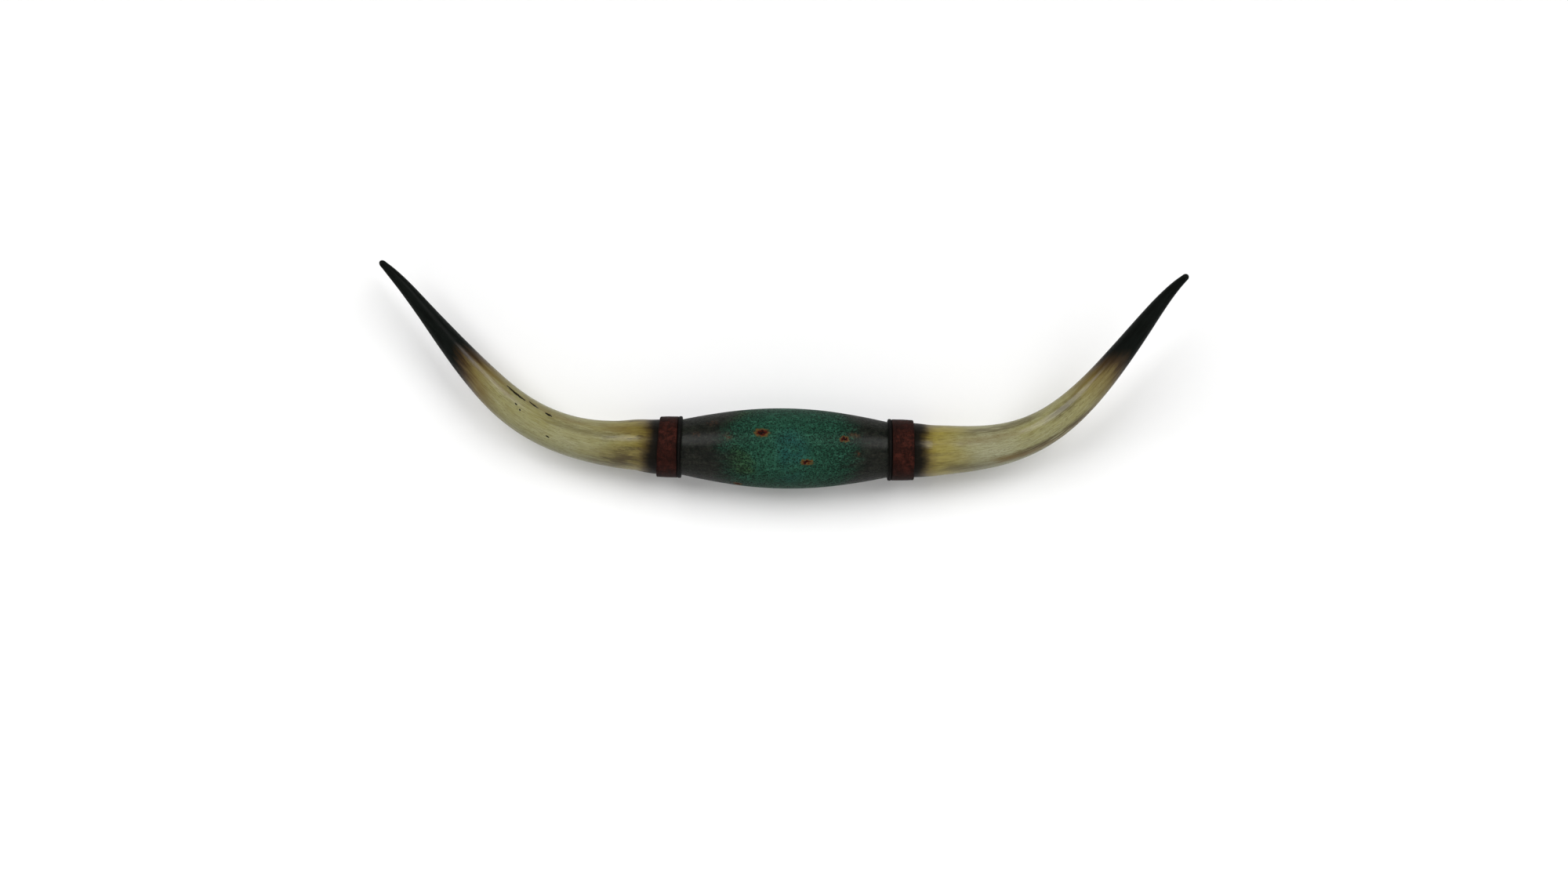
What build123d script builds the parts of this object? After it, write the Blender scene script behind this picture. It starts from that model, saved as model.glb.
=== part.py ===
from build123d import *
import os
from math import asin, cos, degrees, radians, sin

# A wall piece: two longhorn steer horns on a turned wooden barrel, with a leather band over
# each joint. Millimetres. X runs along the barrel, with +X to the viewer's right, -Y points
# into the room and +Z is up. The origin lies midway between the round holes of the two
# keyhole plates, on the flat that is planed on the barrel's back.

# ---- barrel ----
AXIS_DEPTH = 50.0  # from the flat on the back to the barrel's axis
BARREL_R = 60.6  # at the belly
SEAT_R = 42.0  # of the barrel's ends, under the bands
SEAT_X = 154.0  # from the middle to where the flank meets the band's seat
JOINT_X = 173.0  # from the middle to each end face, where the horn butts
BELLY_ARC_R = 592.0  # the belly's arc, from which the flanks run on in flatter arcs
BELLY_HALF = 83.0

# ---- horns ----
# Each station is (distance out along X, distance forward of the axis, height, radius). The
# pair is a natural one: the left horn lies nearly flat to the wall and ends higher, and the
# right one sweeps out into the room.
HORN_STATIONS = {
    "left": [
        (196, 0, 0, 41.0),
        (245, 0, 3, 36.7),
        (300, 0, 9, 32.1),
        (354, 0.5, 25, 29.5),
        (405, 1.5, 53, 27.6),
        (456, 3.5, 98, 24.3),
        (503, 6, 150, 18.9),
        (548, 9.5, 204, 12.9),
        (590, 13, 252, 8.2),
        (608.5, 15, 270, 5.0),
    ],
    "right": [
        (196, 0, 0, 41.0),
        (245, 0, 1, 37.3),
        (300, 0.5, 6, 33.2),
        (352, 4, 18.5, 29.6),
        (400, 12, 43, 26.3),
        (448, 25.5, 85, 22.7),
        (490, 46, 136.5, 18.9),
        (528, 74, 191, 14.0),
        (562, 105, 238.7, 8.2),
        (579.5, 122, 257.3, 5.0),
    ],
}
MOUTH_R = 38.0  # of the horn's reamed mouth
MOUTH_END_R = 33.0
MOUTH_DEPTH = 62.0
HOLLOW_WALLS = [5.5, 8.0, 12.0, 18.0]  # at the second to the fifth station
GLUE = 0.15  # gap round a glued or strapped piece

# ---- core: plugs, tie rod and dowels ----
PLUG_LENGTH = 61.0
ROD_R = 5.0  # M10
ROD_HOLE_R = 5.5
ROD_PAST_NUT = 2.0
WASHER_R = 10.5
WASHER_THICK = 2.0
NUT_R = 9.8  # across the corners
NUT_THICK = 8.0
NUT_RECESS_R = 12.5
NUT_RECESS_DEPTH = 14.0
DOWEL_R = 4.0
DOWEL_LENGTH = 36.0
DOWEL_OFFSET = 22.0  # above and below the axis
DOWEL_END_GAP = 1.0

# ---- bands: width, and how far the top of each edge leans towards the middle, in degrees ----
BAND_START = 155.0  # the welt's barrel edge, from the middle
BAND_THICK = 4.2
WELT_WIDTH = 5.6
WELT_PROUD = 0.4  # the welt stands this much above the band
SEAM_GAP = 0.8
BAND_SPARE = 6.0  # the blank ring's length past each edge, before the leaning cuts
BANDS = {
    "left": {"width": 35.5, "inner_lean": 0.8, "outer_lean": 3.1},
    "right": {"width": 39.0, "inner_lean": 0.5, "outer_lean": 1.0},
}

# ---- hanger plates ----
PLATE_X = 60.0  # from the middle
PLATE_WIDTH = 20.0
PLATE_HEIGHT = 38.0
PLATE_RISE = 4.0  # the plate's middle above the keyhole's round hole
PLATE_THICK = 2.0
PLATE_CORNER = 3.0
KEYHOLE_R = 4.5
KEYHOLE_SLOT_R = 2.25
KEYHOLE_RISE = 10.0
POCKET_R = 6.0
POCKET_DEPTH = 9.0
PLATE_SCREW_SPACING = 29.0

# ---- screws and tacks ----
HORN_SCREW_X = 184.0
HORN_SCREW_FACE_R = 40.9  # the radius at which the heads finish, just under the horn's skin
HORN_SCREW_ANGLES = [45, 135, 225, 315]
HORN_SCREW_LENGTH = 22.0
PLATE_SCREW_LENGTH = 20.0
SHANK_R = 1.75
HEAD_R = 3.5
HEAD_DEPTH = 2.0
POINT_LENGTH = 3.0
POINT_R = 0.4
DRIVE_WIDTH = 0.9
DRIVE_DEPTH = 1.0
TACK_HEAD_R = 3.4
TACK_DOME = 1.9
TACK_SHANK_R = 0.9
TACK_LENGTH = 13.0
TACK_POINT = 2.0
TACK_POINT_R = 0.2
TACK_ANGLE = 7.5  # from the seam to the tacks on each side of it
TACK_ROWS = 3
TACK_EDGE = 6.5  # from the band's edges to the outer tacks

SIDES = {"left": -1, "right": 1}
AXIS_POINT = (0, -AXIS_DEPTH, 0)
BARREL_AXIS = Axis(AXIS_POINT, (1, 0, 0))
FRONT_PLANE = Plane.XZ.offset(AXIS_DEPTH)  # holds the barrel's axis, seen from the front
NUT_SEAT_X = JOINT_X + PLUG_LENGTH - NUT_RECESS_DEPTH

os.makedirs("parts", exist_ok=True)


def save(part, name):
    """Labels a finished piece and writes it as one STEP file."""
    part.label = name
    export_step(part, f"parts/{name}.step")


def cross_plane(x, side, lean=0.0):
    """A plane across the axis that faces outwards, its top leaning towards the middle."""
    outwards = (side * cos(radians(lean)), 0, sin(radians(lean)))
    return Plane(origin=(side * x, -AXIS_DEPTH, 0), x_dir=(0, side, 0), z_dir=outwards)


def radial_plane(x, radius, angle):
    """A plane that faces outwards from the axis. Angle 0 points at the wall and 90 up."""
    y, z = cos(radians(angle)), sin(radians(angle))
    origin = (x, y * radius - AXIS_DEPTH, z * radius)
    return Plane(origin=origin, x_dir=(1, 0, 0), z_dir=(0, y, z))


def seat_radius(x):
    """The radius of what a band lies on: the barrel's end, then the foot of the horn."""
    seat_end_x, _, _, seat_end_r = HORN_STATIONS["left"][0]
    past_joint = max(0.0, x - JOINT_X)
    return SEAT_R - (SEAT_R - seat_end_r) * past_joint / (seat_end_x - JOINT_X)


def rod_along_axis(start_x, end_x, radius):
    """A round bar on the barrel's axis."""
    with BuildPart() as bar:
        with BuildSketch(cross_plane(start_x, 1)):
            Circle(radius)
        extrude(amount=end_x - start_x)
    return bar.part


def cone_along_axis(side, start_x, end_x, start_r, end_r):
    """A cone on the barrel's axis, from one distance out to another."""
    with BuildPart() as cone:
        with BuildSketch(cross_plane(start_x, side)):
            Circle(start_r)
        with BuildSketch(cross_plane(end_x, side)):
            Circle(end_r)
        loft()
    return cone.part


def flat_screw(plane, length):
    """A countersunk wood screw with its face on the plane, without its slot."""
    with BuildPart() as screw:
        with BuildSketch(Plane(plane.origin, x_dir=plane.x_dir, z_dir=plane.y_dir)):
            with BuildLine():
                Polyline(
                    (0, 0),
                    (HEAD_R, 0),
                    (SHANK_R, HEAD_DEPTH),
                    (SHANK_R, length - POINT_LENGTH),
                    (POINT_R, length),
                    (0, length),
                    close=True,
                )
            make_face()
        revolve(axis=Axis(plane.origin, plane.z_dir))
    return screw.part


def slotted(blank, plane):
    """A screw with the slot cut across its head."""
    with BuildPart() as screw:
        add(blank)
        with BuildSketch(plane):
            Rectangle(4 * HEAD_R, DRIVE_WIDTH)
        extrude(amount=-DRIVE_DEPTH, mode=Mode.SUBTRACT)
    return screw.part


def tack_shank(plane, proud):
    """A tack's pointed shank behind the plane, standing proud of it in front."""
    with BuildPart() as shank:
        with BuildSketch(Plane(plane.origin, x_dir=plane.x_dir, z_dir=plane.y_dir)):
            with BuildLine():
                Polyline(
                    (0, -proud),
                    (TACK_SHANK_R, -proud),
                    (TACK_SHANK_R, TACK_LENGTH - TACK_POINT),
                    (TACK_POINT_R, TACK_LENGTH),
                    (0, TACK_LENGTH),
                    close=True,
                )
            make_face()
        revolve(axis=Axis(plane.origin, plane.z_dir))
    return shank.part


def domed_tack(plane):
    """A tack with its dome in front of the plane and its shank behind it."""
    dome_r = (TACK_HEAD_R**2 + TACK_DOME**2) / (2 * TACK_DOME)
    with BuildPart() as nail:
        with BuildSketch(Plane(plane.origin, x_dir=plane.x_dir, z_dir=plane.y_dir)):
            with BuildLine():
                dome = RadiusArc((0, -TACK_DOME), (TACK_HEAD_R, 0), dome_r)
                Polyline(dome @ 1, (0, 0), dome @ 0)
            make_face()
        revolve(axis=Axis(plane.origin, plane.z_dir))
        add(tack_shank(plane, 0))
    return nail.part


def ring_between(name, start, start_lean, end, end_lean, thickness):
    """A leather ring round the axis, cut off by two leaning planes and split at the back."""
    side = SIDES[name]
    band_end = BAND_START + BANDS[name]["width"]
    corners = [BAND_START - BAND_SPARE, JOINT_X, band_end + BAND_SPARE]
    under = [(side * x, seat_radius(x) + GLUE) for x in corners]
    over = [(x, r + thickness) for x, r in reversed(under)]
    with BuildPart() as ring:
        with BuildSketch(FRONT_PLANE):
            with BuildLine():
                Polyline(*under, *over, close=True)
            make_face()
        revolve(axis=BARREL_AXIS)
        split(bisect_by=cross_plane(start, side, start_lean), keep=Keep.TOP)
        split(bisect_by=cross_plane(end, side, end_lean), keep=Keep.BOTTOM)
        with BuildSketch(Plane.XZ):
            with Locations((side * (start + end) / 2, 0)):
                Rectangle(2 * (end - start), SEAM_GAP)
        extrude(amount=AXIS_DEPTH, mode=Mode.SUBTRACT)
    return ring.part


# ---- screws and tacks, which also cut their own holes ----
screw_planes = {}
screw_blanks = {}
tack_planes = {}
tack_holes = {}
for name, side in SIDES.items():
    x = side * HORN_SCREW_X
    screw_planes[name] = [radial_plane(x, HORN_SCREW_FACE_R, a) for a in HORN_SCREW_ANGLES]
    screw_blanks[name] = [flat_screw(plane, HORN_SCREW_LENGTH) for plane in screw_planes[name]]
    first = BAND_START + WELT_WIDTH + TACK_EDGE
    pitch = (BAND_START + BANDS[name]["width"] - TACK_EDGE - first) / (TACK_ROWS - 1)
    tack_planes[name] = []
    for row in range(TACK_ROWS):
        x = first + pitch * row
        head_r = seat_radius(x - TACK_HEAD_R) + GLUE + BAND_THICK
        for angle in (-TACK_ANGLE, TACK_ANGLE):
            tack_planes[name].append(radial_plane(side * x, head_r, angle))
    tack_holes[name] = [tack_shank(plane, TACK_DOME) for plane in tack_planes[name]]

plate_screw_planes = {}
plate_screw_blanks = {}
for name, side in SIDES.items():
    places = [PLATE_RISE - PLATE_SCREW_SPACING / 2, PLATE_RISE + PLATE_SCREW_SPACING / 2]
    planes = [Plane((side * PLATE_X, 0, z), x_dir=(1, 0, 0), z_dir=(0, 1, 0)) for z in places]
    plate_screw_planes[name] = planes
    plate_screw_blanks[name] = [flat_screw(plane, PLATE_SCREW_LENGTH) for plane in planes]

# ---- the turned barrel ----
belly_turn = degrees(asin(BELLY_HALF / BELLY_ARC_R))
with BuildPart() as centre_barrel:
    with BuildSketch(FRONT_PLANE):
        with BuildLine():
            middle = (0, BARREL_R - BELLY_ARC_R)
            belly = CenterArc(middle, BELLY_ARC_R, 90 - belly_turn, 2 * belly_turn)
            right_flank = TangentArc(belly @ 0, (SEAT_X, SEAT_R), tangent=-(belly % 0))
            left_flank = TangentArc(belly @ 1, (-SEAT_X, SEAT_R), tangent=belly % 1)
            Polyline(
                right_flank @ 1,
                (JOINT_X, SEAT_R),
                (JOINT_X, 0),
                (-JOINT_X, 0),
                (-JOINT_X, SEAT_R),
                left_flank @ 1,
            )
        make_face()
    revolve(axis=BARREL_AXIS)
    # The flat that lies against the wall.
    with BuildSketch(Plane.XZ):
        Rectangle(2 * JOINT_X, 2 * BARREL_R)
    extrude(amount=-BARREL_R, mode=Mode.SUBTRACT)
    add(rod_along_axis(-JOINT_X, JOINT_X, ROD_HOLE_R), mode=Mode.SUBTRACT)
    for name, side in SIDES.items():
        with BuildSketch(cross_plane(JOINT_X, side)):
            with Locations((0, DOWEL_OFFSET), (0, -DOWEL_OFFSET)):
                Circle(DOWEL_R + GLUE)
        extrude(amount=-(DOWEL_LENGTH / 2 + DOWEL_END_GAP), mode=Mode.SUBTRACT)
        # The hanger plate is let in flush, over a pocket for the wall screw's head.
        with BuildSketch(Plane.XZ):
            with Locations((side * PLATE_X, PLATE_RISE)):
                RectangleRounded(
                    PLATE_WIDTH + 2 * GLUE, PLATE_HEIGHT + 2 * GLUE, PLATE_CORNER + GLUE
                )
        extrude(amount=PLATE_THICK, mode=Mode.SUBTRACT)
        with BuildSketch(Plane.XZ):
            with Locations((side * PLATE_X, KEYHOLE_RISE / 2)):
                SlotCenterToCenter(KEYHOLE_RISE, 2 * POCKET_R, rotation=90)
        extrude(amount=POCKET_DEPTH, mode=Mode.SUBTRACT)
        for cutter in plate_screw_blanks[name] + tack_holes[name]:
            add(cutter, mode=Mode.SUBTRACT)
save(centre_barrel.part, "centre_barrel")

for name, side in SIDES.items():
    # ---- horn ----
    stations = HORN_STATIONS[name]
    centres = [Vector(side * x, -AXIS_DEPTH - ahead, z) for x, ahead, z, _ in stations]
    tip_direction = (centres[-1] - centres[-2]).normalized()
    spine = Spline(*centres, tangents=[Vector(side, 0, 0), tip_direction], mode=Mode.PRIVATE)
    sections = []
    for centre, station in zip(centres, stations):
        along = spine % spine.param_at_point(centre)
        sections.append((Plane(centre, x_dir=(0, -1, 0), z_dir=along), station[3]))
    with BuildPart() as hollow:
        for (plane, radius), wall in zip(sections[1:], HOLLOW_WALLS):
            with BuildSketch(plane):
                Circle(radius - wall)
        loft()
    foot = cone_along_axis(side, JOINT_X, stations[0][0], SEAT_R, stations[0][3])
    mouth_end_x = JOINT_X + MOUTH_DEPTH
    mouth = cone_along_axis(side, JOINT_X, mouth_end_x, MOUTH_R, MOUTH_END_R)
    with BuildPart() as horn:
        for plane, radius in sections:
            with BuildSketch(plane):
                Circle(radius)
        loft()
        add(foot)
        # The tip is rounded off by a half ball.
        tip_plane, tip_r = sections[-1]
        with BuildSketch(Plane(tip_plane.origin, x_dir=tip_plane.z_dir, z_dir=tip_plane.x_dir)):
            with BuildLine():
                Polyline((0, tip_r), (0, 0), (tip_r, 0))
                RadiusArc((tip_r, 0), (0, tip_r), -tip_r)
            make_face()
        revolve(axis=Axis(tip_plane.origin, tip_plane.z_dir))
        add(mouth, mode=Mode.SUBTRACT)
        add(hollow.part, mode=Mode.SUBTRACT)
        for plane, blank in zip(screw_planes[name], screw_blanks[name]):
            add(blank, mode=Mode.SUBTRACT)
            with BuildSketch(plane):
                Circle(HEAD_R)
            extrude(amount=HEAD_DEPTH, mode=Mode.SUBTRACT)
        for hole in tack_holes[name]:
            add(hole, mode=Mode.SUBTRACT)
    save(horn.part, f"horn_{name}")

    # ---- plug that fills the horn's mouth ----
    plug_slope = (MOUTH_R - MOUTH_END_R) / MOUTH_DEPTH
    plug_end_r = MOUTH_R - GLUE - plug_slope * PLUG_LENGTH
    with BuildPart() as plug:
        add(cone_along_axis(side, JOINT_X, JOINT_X + PLUG_LENGTH, MOUTH_R - GLUE, plug_end_r))
        with BuildSketch(cross_plane(JOINT_X, side)):
            Circle(ROD_HOLE_R)
        extrude(amount=PLUG_LENGTH, mode=Mode.SUBTRACT)
        with BuildSketch(cross_plane(NUT_SEAT_X, side)):
            Circle(NUT_RECESS_R)
        extrude(amount=NUT_RECESS_DEPTH, mode=Mode.SUBTRACT)
        with BuildSketch(cross_plane(JOINT_X, side)):
            with Locations((0, DOWEL_OFFSET), (0, -DOWEL_OFFSET)):
                Circle(DOWEL_R + GLUE)
        extrude(amount=DOWEL_LENGTH / 2 + DOWEL_END_GAP, mode=Mode.SUBTRACT)
        for cutter in screw_blanks[name] + tack_holes[name]:
            add(cutter, mode=Mode.SUBTRACT)
    save(plug.part, f"horn_plug_{name}")

    # ---- washer, nut and dowels ----
    with BuildPart() as washer:
        with BuildSketch(cross_plane(NUT_SEAT_X, side)):
            Circle(WASHER_R)
            Circle(ROD_R, mode=Mode.SUBTRACT)
        extrude(amount=WASHER_THICK)
    save(washer.part, f"tie_rod_washer_{name}")

    with BuildPart() as nut:
        with BuildSketch(cross_plane(NUT_SEAT_X + WASHER_THICK, side)):
            RegularPolygon(NUT_R, 6)
            Circle(ROD_R, mode=Mode.SUBTRACT)
        extrude(amount=NUT_THICK)
    save(nut.part, f"tie_rod_nut_{name}")

    with BuildPart() as dowels:
        with BuildSketch(cross_plane(JOINT_X - DOWEL_LENGTH / 2, side)):
            with Locations((0, DOWEL_OFFSET), (0, -DOWEL_OFFSET)):
                Circle(DOWEL_R)
        extrude(amount=DOWEL_LENGTH)
    save(dowels.part, f"joint_dowels_{name}")

    # ---- leather band and its welt ----
    band_size = BANDS[name]
    welt_end = BAND_START + WELT_WIDTH
    band_end = BAND_START + band_size["width"]
    inner_lean = band_size["inner_lean"]
    with BuildPart() as welt:
        thickness = BAND_THICK + WELT_PROUD
        add(ring_between(name, BAND_START, inner_lean, welt_end, inner_lean, thickness))
    save(welt.part, f"band_welt_{name}")

    with BuildPart() as band:
        outer_lean = band_size["outer_lean"]
        add(ring_between(name, welt_end, inner_lean, band_end, outer_lean, BAND_THICK))
        for hole in tack_holes[name]:
            add(hole, mode=Mode.SUBTRACT)
    save(band.part, f"leather_band_{name}")

    nails = [domed_tack(plane) for plane in tack_planes[name]]
    save(Compound(children=nails), f"band_tacks_{name}")

    # ---- screws ----
    pairs = zip(screw_blanks[name], screw_planes[name])
    save(Compound(children=[slotted(*pair) for pair in pairs]), f"horn_screws_{name}")
    pairs = zip(plate_screw_blanks[name], plate_screw_planes[name])
    save(Compound(children=[slotted(*pair) for pair in pairs]), f"plate_screws_{name}")

    # ---- hanger plate ----
    with BuildPart() as plate:
        with BuildSketch(Plane.XZ):
            with Locations((side * PLATE_X, PLATE_RISE)):
                RectangleRounded(PLATE_WIDTH, PLATE_HEIGHT, PLATE_CORNER)
            with Locations((side * PLATE_X, 0)):
                Circle(KEYHOLE_R, mode=Mode.SUBTRACT)
            with Locations((side * PLATE_X, KEYHOLE_RISE / 2)):
                SlotCenterToCenter(
                    KEYHOLE_RISE, 2 * KEYHOLE_SLOT_R, rotation=90, mode=Mode.SUBTRACT
                )
        extrude(amount=PLATE_THICK)
        for blank in plate_screw_blanks[name]:
            add(blank, mode=Mode.SUBTRACT)
    save(plate.part, f"keyhole_plate_{name}")

# ---- tie rod, from nut to nut ----
rod_end = NUT_SEAT_X + WASHER_THICK + NUT_THICK + ROD_PAST_NUT
with BuildPart() as tie_rod:
    add(rod_along_axis(-rod_end, rod_end, ROD_R))
save(tie_rod.part, "tie_rod")
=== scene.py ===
"""Two polished steer horns on a turned barrel, with a leather band over each joint."""

import math

import bmesh
import bpy
import numpy as np
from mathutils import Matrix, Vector, noise
from mathutils.bvhtree import BVHTree


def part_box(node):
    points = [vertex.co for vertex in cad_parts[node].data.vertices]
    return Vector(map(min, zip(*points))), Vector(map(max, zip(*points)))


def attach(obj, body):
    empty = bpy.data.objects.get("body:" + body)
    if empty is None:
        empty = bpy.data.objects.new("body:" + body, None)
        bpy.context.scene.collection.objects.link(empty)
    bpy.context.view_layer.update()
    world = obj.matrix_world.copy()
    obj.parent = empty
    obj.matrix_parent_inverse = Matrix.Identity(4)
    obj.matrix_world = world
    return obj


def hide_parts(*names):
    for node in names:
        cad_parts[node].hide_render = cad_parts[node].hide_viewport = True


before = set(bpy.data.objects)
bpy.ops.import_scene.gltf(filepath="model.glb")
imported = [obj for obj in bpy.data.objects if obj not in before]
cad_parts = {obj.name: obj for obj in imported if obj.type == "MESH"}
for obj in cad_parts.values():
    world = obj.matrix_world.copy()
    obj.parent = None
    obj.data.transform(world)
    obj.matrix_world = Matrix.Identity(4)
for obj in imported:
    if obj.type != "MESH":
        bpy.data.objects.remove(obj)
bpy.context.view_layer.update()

# ---- sizes, in metres, and places, read from the frame where it holds them ----
SIDES = {"left": -1, "right": 1}
PLUG_LOW, PLUG_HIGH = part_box("horn_plug_right")
JOINT_X = PLUG_LOW.x  # where each horn butts the barrel
AXIS_Y = (PLUG_LOW.y + PLUG_HIGH.y) / 2  # the barrel's axis
WALL_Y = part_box("centre_barrel")[1].y  # the flat on the back
AXIS = Vector((0, AXIS_Y, 0))
MM = 0.001

HORN_STEP = 2.5 * MM  # between rings along a horn
HORN_STEP_FINE = 0.8 * MM  # along the split stretch of the left horn
HORN_REACH = 80 * MM  # further from the horn's line than any of its skin
BARREL_ROWS = 231
BARREL_AROUND = 220

# Splits and pits in the left horn, each from one place to another: how far along the horn
# from the joint, and the angle round it from the front towards the top, then the half width
# and the depth.
SPLITS = [
    ((0.2385, 46.5), (0.2750, 50.0), 1.6 * MM, 2.4 * MM),
    ((0.2140, 46.5), (0.2310, 52.0), 1.1 * MM, 1.7 * MM),
    ((0.1880, 40.5), (0.1985, 43.0), 1.5 * MM, 2.0 * MM),
    ((0.2350, 8.0), (0.2362, 9.0), 1.2 * MM, 1.2 * MM),
    ((0.2440, 16.0), (0.2475, 17.5), 0.6 * MM, 0.8 * MM),
    ((0.1785, -24.0), (0.1830, -23.0), 0.7 * MM, 0.6 * MM),
]
SPLIT_BLUR = 0.6 * MM
SPLIT_START, SPLIT_END = 0.172, 0.283  # the stretch of the horn that they are in

# How each horn is stained: where its scorched foot and its ochre end and its black tip starts,
# all along it from the joint, which way the pale tongue leans, and the long stains that follow
# the grain: start, end, height up the horn, half height, strength and colour.
DARK_STAIN = (0.045, 0.030, 0.011)
TAN_STAIN = (0.110, 0.074, 0.022)
HORN_LOOKS = {
    "left": {
        "grey": 0.25,
        "outer": (0.190, 0.160, 0.052),
        "scorch_end": 0.034,
        "ochre_end": 0.112,
        "ochre": (0.138, 0.106, 0.015),
        "smudges": 0.75,
        "black_start": 0.352,
        "tongue": -0.004,
        "stains": [
            (0.046, 0.088, -0.016, 0.014, 0.95, DARK_STAIN),
            (0.045, 0.120, -0.028, 0.008, 0.70, DARK_STAIN),
            (0.040, 0.110, 0.022, 0.008, 0.55, TAN_STAIN),
            (0.110, 0.260, 0.022, 0.006, 0.50, TAN_STAIN),
            (0.060, 0.200, 0.012, 0.006, 0.40, DARK_STAIN),
            (0.280, 0.350, -0.012, 0.010, 0.70, TAN_STAIN),
            (0.250, 0.340, 0.014, 0.008, 0.50, TAN_STAIN),
        ],
    },
    "right": {
        "grey": 0.65,
        "outer": (0.245, 0.205, 0.066),
        "scorch_end": 0.037,
        "ochre_end": 0.118,
        "ochre": (0.215, 0.170, 0.028),
        "smudges": 0.35,
        "black_start": 0.376,
        "tongue": 0.004,
        "stains": [
            (0.130, 0.310, -0.022, 0.006, 0.95, TAN_STAIN),
            (0.170, 0.300, -0.019, 0.004, 0.80, DARK_STAIN),
            (0.235, 0.300, 0.008, 0.009, 0.75, DARK_STAIN),
            (0.090, 0.230, 0.024, 0.006, 0.60, DARK_STAIN),
            (0.080, 0.190, 0.012, 0.007, 0.45, TAN_STAIN),
            (0.060, 0.130, -0.027, 0.006, 0.60, DARK_STAIN),
            (0.290, 0.370, 0.014, 0.008, 0.60, TAN_STAIN),
        ],
    },
}
RELIEF_SEEDS = {"left": 7.0, "right": 31.0}
TIP_RINGS = 7
TIP_TURN = 12  # degrees from one ring of the tip to the next

STRAP_STEPS = 300
STRAP_THICK = 4.2 * MM
SEAM_HALF = 0.45 * MM

# Rust pits in the barrel: place along it, angle round it from the front towards the top, half
# length, half height and depth of the hollow.
RUST_PITS = [
    (-34.3 * MM, 23.0, 7.0 * MM, 3.6 * MM, 1.7 * MM),
    (88.7 * MM, 16.5, 4.8 * MM, 2.6 * MM, 1.3 * MM),
    (33.1 * MM, -19.3, 6.2 * MM, 2.6 * MM, 1.3 * MM),
    (-12.0 * MM, 118.0, 5.5 * MM, 3.2 * MM, 1.3 * MM),
    (61.0 * MM, -104.0, 6.4 * MM, 2.8 * MM, 1.4 * MM),
    (-70.0 * MM, -72.0, 4.6 * MM, 2.8 * MM, 1.0 * MM),
]
# Each band tack, and how far it may lean.
TACK = {
    "Head Radius": 3.35 * MM,
    "Dome Height": 1.9 * MM,
    "Shank Radius": 0.9 * MM,
    "Shank Length": 13 * MM,
    "Point Length": 2 * MM,
    "Dent Depth": 0.12 * MM,
    "Lean": 0.02,
    "Segments": 36,
}
TACK_SEED = 12
# Faint stains of rust with no hollow: place, angle, half length, half height, strength.
RUST_STAINS = [
    (-108.9 * MM, 46.0, 13 * MM, 8 * MM, 0.55),
    (-132.0 * MM, 24.0, 9 * MM, 7 * MM, 0.45),
    (108.9 * MM, -8.0, 7 * MM, 7 * MM, 0.55),
    (104.0 * MM, 24.0, 13 * MM, 7 * MM, 0.50),
    (-84.0 * MM, 18.0, 11 * MM, 9 * MM, 0.35),
    (20.0 * MM, 150.0, 14 * MM, 10 * MM, 0.50),
    (-60.0 * MM, -130.0, 12 * MM, 9 * MM, 0.45),
]
# Dark nicks in the finish: place, angle, half length, half height.
NICKS = [
    (-108.0 * MM, -11.5, 13 * MM, 3.4 * MM),
    (-4.7 * MM, -50.0, 7 * MM, 1.1 * MM),
    (16.6 * MM, 37.6, 1.5 * MM, 1.5 * MM),
    (-2.0 * MM, 9.6, 1.3 * MM, 1.3 * MM),
    (74.0 * MM, 44.0, 8 * MM, 1.6 * MM),
    (-6.0 * MM, 49.0, 11 * MM, 1.2 * MM),
    (-92.0 * MM, 62.0, 10 * MM, 1.4 * MM),
    (46.0 * MM, 92.0, 9 * MM, 1.3 * MM),
]

# ---- stage ----
FLOOR_Z = -1.1
WALL_GAP = WALL_Y + 0.5 * MM
WALL_TOP = 5
STAGE_REACH = 6
WORLD_STRENGTH = 0.08
# Each light: where it shines from, strength and how many degrees across it looks.
LIGHTS = {
    "left_softbox": ((-0.53, -0.74, 0.45), 2.20, 40),
    "right_softbox": ((0.53, -0.76, 0.42), 2.05, 40),
    "back_softbox": ((0.25, 0.96, 0.10), 1.60, 40),
}
CAMERA_X = -1.2 * MM
CAMERA_Z = 11.2 * MM
CAMERA_DISTANCE = 3.3  # in front of the barrel's axis
CAMERA_LENS = 50.2
CAMERA_SENSOR = 36
CAMERA_ROLL = 0.78  # degrees


# ---- materials ----
class Value:
    """A node's output in an expression. Sums on values add Math nodes to their tree."""

    def __init__(self, owner, socket):
        self.owner = owner
        self.socket = socket

    def _math(self, operation, *operands):
        return self.owner.add("Math", {"operation": operation}, operands)

    def __add__(self, other):
        return self._math("ADD", self, other)

    __radd__ = __add__

    def __sub__(self, other):
        return self._math("SUBTRACT", self, other)

    def __rsub__(self, other):
        return self._math("SUBTRACT", other, self)

    def __mul__(self, other):
        return self._math("MULTIPLY", self, other)

    __rmul__ = __mul__

    def __truediv__(self, other):
        return self._math("DIVIDE", self, other)

    def __abs__(self):
        return self._math("ABSOLUTE", self)

    def at_most(self, other):
        return self._math("MINIMUM", self, other)

    def at_least(self, other):
        return self._math("MAXIMUM", self, other)

    def rise(self, low, high):
        """0 below low and 1 above high, with a smooth rise between. low may be the higher."""
        settings = {"interpolation_type": "SMOOTHSTEP"}
        if low < high:
            return self.owner.add("MapRange", settings, {0: self, 1: low, 2: high})
        return 1 - self.owner.add("MapRange", settings, {0: self, 1: high, 2: low})


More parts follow.
